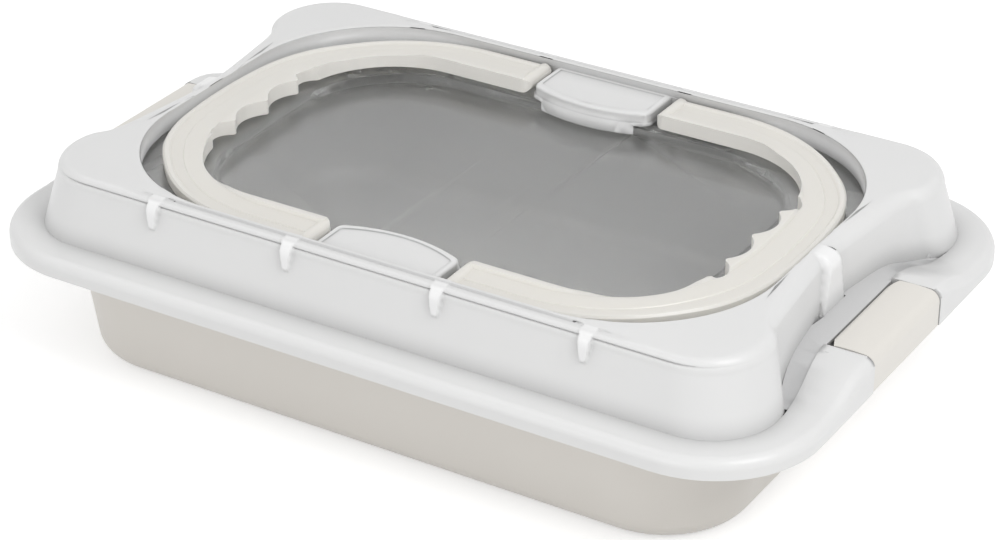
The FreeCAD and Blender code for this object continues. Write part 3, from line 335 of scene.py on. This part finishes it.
def on_recess(x, y, spread):
    """The nearest place on that outline, or on one a little wider."""
    beside, ahead = beyond_corner(x, y)
    if beside > 0 and ahead > 0:
        scale = (recess_corner + spread) / math.hypot(beside, ahead)
        near = (recess_half_length - recess_corner + beside * scale,
                recess_half_width - recess_corner + ahead * scale)
    elif beside > ahead:
        near = (recess_half_length + spread, abs(y))
    else:
        near = (abs(x), recess_half_width + spread)
    return math.copysign(near[0], x), math.copysign(near[1], y)


# The long sides of the dome's plan have a place every 3 mm and every half millimetre at the ribs.
side_end = 0.120
side_step = 0.003
side_last_steps = 10
side_rib_places = (0.036, 0.104)
rib_step = 0.0005
rib_steps = 12
rib_margin = 0.0062


def side_places():
    """Places along a long side, close together where a rib stands."""
    open_side = [side_step * step for step in range(round(side_end / side_step))]
    places = [x for x in open_side if min(abs(x - rib) for rib in side_rib_places) > rib_margin]
    places += [rib + rib_step * step for rib in side_rib_places for step in range(-rib_steps, rib_steps + 1)]
    return sorted(places)


# The ends of the plan run from a lobe into the valley in which the latch lies.
# Knots are shares of the valley's depth and of the lobe's place, and so are the leads,
# which give how the curve leaves one knot and reaches the next.
valley_knots = ((0.64, 0.81), (0.27, 0.5))
valley_leads = (((0.0, -0.367), (-0.439, -0.135)), ((-0.687, -0.211), (-0.229, -0.345)),
                ((-0.361, -0.544), (0.0, -0.484)))
valley_steps = (12, 16, 40)


def valley_curve(half_length, lobe_y, valley):
    """Smooth curve from a lobe up to the middle of the valley, without that last place."""
    reach = half_length - valley
    knots = [(half_length, lobe_y)]
    knots += [(valley + along * reach, across * lobe_y) for along, across in valley_knots]
    knots += [(valley, 0.0)]
    curve = []
    for leg, steps in enumerate(valley_steps):
        start, end = knots[leg:leg + 2]
        leaving, reaching = valley_leads[leg]
        for step in range(steps):
            at = step / steps
            from_start = 2 * at ** 3 - 3 * at ** 2 + 1
            by_leaving = at ** 3 - 2 * at ** 2 + at
            from_end = 3 * at ** 2 - 2 * at ** 3
            by_reaching = at ** 3 - at ** 2
            curve.append(tuple(
                from_start * start[axis] + by_leaving * leaving[axis] * scale
                + from_end * end[axis] + by_reaching * reaching[axis] * scale
                for axis, scale in ((0, reach), (1, lobe_y))))
    return curve


# The plan at the flange, and what the wall's lean and then the rounding over it take off.
dome_half_length = 0.1757
dome_half_width = 0.1121
lobe_corner = 0.030
valley_place = 0.1577
end_lean = 0.0062
side_lean = 0.0053
corner_lean = 0.002
valley_lean = 0.0015
end_rounding = 0.005
side_rounding = 0.003
corner_rounding = 0.003
valley_rounding = 0.008
lobe_steps = 18


def lobed_outline(lean, rounding, sunk):
    """Plan of the dome at a share of its wall's lean and at a share of the rounding over it."""
    half_length = dome_half_length - end_lean * lean - end_rounding * rounding
    half_width = dome_half_width - side_lean * lean - side_rounding * rounding - sunk
    corner = lobe_corner - corner_lean * lean - corner_rounding * rounding - sunk
    valley = valley_place - valley_lean * lean - valley_rounding * rounding
    lobe_y = half_width - corner
    corner_x = half_length - corner
    quarter = [(x, half_width) for x in side_places()]
    quarter += [(side_end + (corner_x - side_end) * step / side_last_steps, half_width)
                for step in range(side_last_steps)]
    for step in range(lobe_steps):
        turn = math.radians(90 - 90 * step / lobe_steps)
        quarter.append((corner_x + corner * math.cos(turn), lobe_y + corner * math.sin(turn)))
    quarter += valley_curve(half_length, lobe_y, valley)
    one_end = quarter + [(valley, 0.0)] + [(x, -y) for x, y in reversed(quarter)]
    other_end = [(-x, -y) for x, y in quarter[1:]] + [(-valley, 0.0)]
    other_end += [(-x, y) for x, y in reversed(quarter[1:])]
    return one_end + other_end


# Each long side has four short ribs that widen upwards, and each end a wedge that narrows upwards.
rib_bend = 0.0065
rib_top = 0.08885
side_rib_low = 0.0757
side_rib_out = 0.1092
side_rib_half = 0.0016
side_rib_widening = 0.0019
side_rib_flank = 0.0006
side_of_dome = 0.095
end_rib_low = 0.0600
end_rib_out = 0.1597
end_rib_half = 0.011
end_rib_narrowing = 0.0065
end_rib_flank = 0.0014
end_of_dome = 0.13


def proud(out, z, reach):
    """A place in a rib's own section: the rib is upright and rounded over into the top."""
    deep = max(out - (reach - rib_bend), 0.0)
    high = max(z - (rib_top - rib_bend), 0.0)
    away = math.hypot(deep, high)
    if z < rib_top - rib_bend:
        return max(out, reach), z
    if away >= rib_bend or away == 0:
        return out, z
    return out - deep + deep * rib_bend / away, z - high + high * rib_bend / away


def with_ribs(x, y, z):
    """A place of the dome's outside, moved out where a rib stands."""
    rise = limited((z - side_rib_low) / (dome_top - side_rib_low))
    tip = limited((z - side_rib_low) / side_rib_half)
    half = (side_rib_half + side_rib_widening * rise) * math.sqrt(1 - (1 - tip) ** 2)
    off = min(abs(abs(x) - rib) for rib in side_rib_places)
    share = limited((half - off) / side_rib_flank + 0.5)
    if tip > 0 and share > 0 and abs(y) > side_of_dome:
        out, up = proud(abs(y), z, side_rib_out)
        y += share * (math.copysign(out, y) - y)
        z += share * (up - z)
    rise = limited((z - end_rib_low) / (dome_top - end_rib_low))
    half = end_rib_half - end_rib_narrowing * rise
    share = limited((half - abs(y)) / end_rib_flank + 0.5)
    if share > 0 and abs(x) > end_of_dome:
        out, up = proud(abs(x), z, end_rib_out)
        x += share * (math.copysign(out, x) - x)
        z += share * (up - z)
    return x, y, z


def in_outline(x, y, outline):
    """Whether a place lies inside a closed outline."""
    inside = False
    for (ax, ay), (bx, by) in zip(outline, outline[1:] + outline[:1]):
        if (ay > y) != (by > y) and x < ax + (y - ay) * (bx - ax) / (by - ay):
            inside = not inside
    return inside


# The outside of the dome is laid as rings, from a foot sunk into the flange up its leaning wall.
foot_spread = 0.0008
foot_sink = 0.0021
wall_steps = 30
rings = [[(x + math.copysign(foot_spread, x), y + math.copysign(foot_spread, y), flange_top - foot_sink)
          for x, y in lobed_outline(0, 0, 0)]]
for step in range(wall_steps + 1):
    height = flange_top + (shoulder_top - flange_top) * step / wall_steps
    lean = (height - flange_top) / (shoulder_top - flange_top)
    rings.append([(x, y, height) for x, y in lobed_outline(lean, 0, 0)])

# Then they turn over its rounded edge, in degrees, with a fine crease part of the way up.
crease_turn = 30
crease_opening = 6
crease_depth = 0.0006
for turn in (6, 12, 18, 24, 27, crease_turn, 33, 36, 42, 48, 56, 64, 72, 80, 90):
    sunk = crease_depth * max(1 - abs(turn - crease_turn) / crease_opening, 0.0)
    angle = math.radians(turn)
    height = shoulder_top + (dome_top - shoulder_top) * math.sin(angle)
    rings.append([(x, y, height) for x, y in lobed_outline(1, 1 - math.cos(angle), sunk)])

# The land is the flat top, from the rounded edge in to the handle recess.
# Its rings lie at a set distance in, or at a share of the way, and the last two round its inner edge.
edge_room = 0.0010
least_across = 0.00001


def sag(room):
    """How far the edge of the recess takes the land down, where it has less than its full room."""
    return recess_edge * (1 - room / edge_room) ** 2


land = rings[-1]
land_room = [min(max(past_recess(x, y, 0.0), 0.0), edge_room) for x, y, height in land]
for inward, share in ((0.0009, 0.0), (0.00165, 0.0), (0.00195, 0.0), (0, 0.4), (0, 0.7), (0, 1.0)):
    ring = []
    for (x, y, height), room in zip(land, land_room):
        edge_x, edge_y = on_recess(x, y, room)
        across = max(math.hypot(edge_x - x, edge_y - y), least_across)
        part = min(max(inward / across, share), 1.0)
        ring.append((x + (edge_x - x) * part, y + (edge_y - y) * part, dome_top - sag(room)))
    rings.append(ring)
for spread, drop in ((0.3, 0.0001), (0.0, recess_edge)):
    rings.append([(*on_recess(x, y, spread * room), dome_top - max(drop, sag(room)))
                  for (x, y, height), room in zip(land, land_room)])

# Along the sides the land steps down a little and rises again towards the lobes.
# The ribs are pushed out last, and each place keeps how far it moved, for the ribs' paler tone, a painted
# highlight for the light they catch.
step_depth = 0.0007
step_place = 0.1020
step_end = 0.126
step_fade = 0.014
full_highlight = 0.0007
ribbed = []
for ring in rings:
    stands_out = []
    for index, (x, y, z) in enumerate(ring):
        if past_recess(x, y, 0.0) < 0:
            x, y = on_recess(x, y, 0.0)
            z = min(z, dome_top - recess_edge)
        if abs(y) > step_place:
            z = min(z, dome_top - step_depth * eased((step_end - abs(x)) / step_fade))
        ring[index] = with_ribs(x, y, z)
        stands_out.append(min(math.dist(ring[index], (x, y, z)) / full_highlight, 1.0))
    ribbed.append(stands_out)

# The rings take the place of the dome's outer faces, found by having nothing close in front of them.
# Inner faces of the end walls pass that test and go too, so the skin is the whole wall there.
# What is left of the old top edge is kept below the new land.
foot_room_side = 0.0024
foot_room_end = 0.0028
foot_depth = 0.0016
land_slope = 0.6
land_low = 0.0865
edge_band = 0.001
tub_wall = 0.0021
least_outward = -0.2
ray_start = 0.0002
ray_reach = 0.015
merge_distance = 0.000005
foot = [(x + math.copysign(foot_room_end, x), y) for x, y in lobed_outline(0, 0, -foot_room_side)]
work = bmesh.new()
work.from_mesh(lid.data)
old_tree = BVHTree.FromBMesh(work)
old_outside = []
for face in work.faces:
    centre = face.calc_center_median()
    places = [vertex.co for vertex in face.verts]
    if min(place.z for place in places) < flange_top - foot_depth:
        continue
    on_land = face.normal.z > land_slope and centre.z > land_low
    if on_land and past_recess(centre.x, centre.y, -edge_band) > 0:
        old_outside.append(face)
        continue
    inside = all(in_outline(place.x, place.y, foot) for place in places)
    clear_of_tub = min(past_recess(place.x, place.y, tub_wall) for place in places) > 0
    if inside and clear_of_tub and face.normal.z > least_outward:
        hit = old_tree.ray_cast(centre + face.normal * ray_start, face.normal, ray_reach)
        if hit[0] is None:
            old_outside.append(face)
bmesh.ops.delete(work, geom=old_outside, context="FACES")
for vertex in work.verts:
    vertex.co.z = min(vertex.co.z, dome_top - recess_edge)
# Each skin place stores its share of the painted highlight on the ribs.
rib_highlight_layer = work.verts.layers.float.new("rib_painted_highlight")
grid = [[work.verts.new(place) for place in ring] for ring in rings]
for verts, marks in zip(grid, ribbed):
    for vertex, mark in zip(verts, marks):
        vertex[rib_highlight_layer] = mark
for lower, upper in zip(grid, grid[1:]):
    for index in range(len(lower)):
        after = (index + 1) % len(lower)
        work.faces.new((lower[index], upper[index], upper[after], lower[after]))
skin = [vertex for ring in grid for vertex in ring]
bmesh.ops.remove_doubles(work, verts=skin, dist=merge_distance)
work.to_mesh(lid.data)
work.free()
shade_smooth(lid.data)

# The shelf and the window in it, with the step between them, are the clear part of the recess.
# The blocks in the middle of its long sides stay frosted.
shelf_top = 0.0797
window_top = 0.0755
clear_wall = 0.0018
window_half_length = 0.1185
window_half_width = 0.0752
window_corner = 0.050
window_margin = 0.0025
block_half_width = 0.0303
block_front = 0.0712
block_margin = 0.001
recess_margin = 0.002
level_slope = 0.95
level_tolerance = 0.0001
step_slope = 0.5
clear_levels = (shelf_top, shelf_top - clear_wall, window_top, window_top - clear_wall)

# The thin ledge in the flange beside each latch gets a darker copy of the frosted plastic, painted shade for
# the deep groove beside the latch. It rises with the flange.
rise_start = 0.072
rise_run = 0.038
latch_rise = 0.0077
ledge_slope = 0.7
ledge_highest = 0.0004
ledge_lowest = 0.0020
ledge_start = 0.15
ledge_end = 0.178
ledge_half_width = 0.078
for face in lid.data.polygons:
    centre = face.center
    beside = max(abs(centre.x) - window_half_length + window_corner, 0.0)
    ahead = max(abs(centre.y) - window_half_width + window_corner, 0.0)
    near_window = math.hypot(beside, ahead) < window_corner + window_margin
    on_block = abs(centre.x) < block_half_width + block_margin and abs(centre.y) > block_front - block_margin
    in_recess = (abs(centre.x) < recess_half_length + recess_margin
                 and abs(centre.y) < recess_half_width + recess_margin)
    level = min(abs(centre.z - height) for height in clear_levels) < level_tolerance
    flat = abs(face.normal.z) > level_slope and level and in_recess
    between = window_top - clear_wall < centre.z < shelf_top
    step = abs(face.normal.z) < step_slope and between and near_window
    if (flat or step) and not on_block:
        face.material_index = 1
    sunk = flange_top + latch_rise * eased((rise_start - abs(centre.y)) / rise_run) - centre.z
    beside_latch = ledge_start < abs(centre.x) < ledge_end and abs(centre.y) < ledge_half_width
    # Painted shade: the ledge beside each latch takes the darker frosted copy.
    if face.normal.z > ledge_slope and ledge_highest < sunk < ledge_lowest and beside_latch:
        face.material_index = 2
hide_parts("lid")
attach(lid, "pan_and_lid")

# The handles are two U-shaped mouldings of cream plastic with pins at their ends.
# The pins snap into bosses of the lid, and the handles fold flat into its recess.
moulded_finish = {"roughness": 0.34, "bump": 0.10, "fine_scale": 1100.0}
handle_plastic = moulded_material(
    "handle_plastic", (0.745, 0.725, 0.68), (0.765, 0.745, 0.70), **moulded_finish)
handle_surface = handle_plastic.node_tree.nodes["Principled BSDF"]
handle_surface.inputs["Subsurface Weight"].default_value = 0.5
handle_surface.inputs["Subsurface Radius"].default_value = (0.007, 0.007, 0.0065)
handle_surface.inputs["Subsurface Scale"].default_value = 1.0
# Painted light: the upright inner faces of the handles get a paler copy of the handle plastic, for the light
# they catch from the front.
painted_inner_light = moulded_material(
    "handle_inner_painted_light", (0.88, 0.86, 0.815), (0.90, 0.88, 0.835),
    roughness=0.30, bump=0.05, fine_scale=1100.0)
end_start = 0.122
end_full = 0.138
end_reach = 0.0017
upright_slope = 0.3
least_inward = 0.02
for side in ("left", "right"):
    handle = refined(side + "_handle", edge_width=0.0004, sharp_angle=math.radians(20))
    for vertex in handle.data.vertices:
        share = eased((abs(vertex.co.x) - end_start) / (end_full - end_start))
        vertex.co.x += math.copysign(end_reach * share, vertex.co.x)
    handle.data.materials.append(handle_plastic)
    handle.data.materials.append(painted_inner_light)
    # The upright faces turned inwards take the painted light copy.
    for face in handle.data.polygons:
        inward = -(face.normal.x * face.center.x + face.normal.y * face.center.y)
        upright = abs(face.normal.z) < upright_slope
        face.material_index = 1 if upright and inward > least_inward else 0
    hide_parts(side + "_handle")
    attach(handle, side + "_handle_body")

# The latches are mouldings of the same plastic that turn on trunnions in the ends of the lid.
# A hook on the inside of each one snaps under the rim of the pan.
latch_plastic = moulded_material(
    "latch_plastic", (0.745, 0.72, 0.675), (0.765, 0.74, 0.695), **moulded_finish)
for side in ("left", "right"):
    latch = refined(side + "_latch", edge_width=0.0003, sharp_angle=math.radians(25))
    latch.data.materials.append(latch_plastic)
    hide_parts(side + "_latch")
    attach(latch, side + "_latch_body")
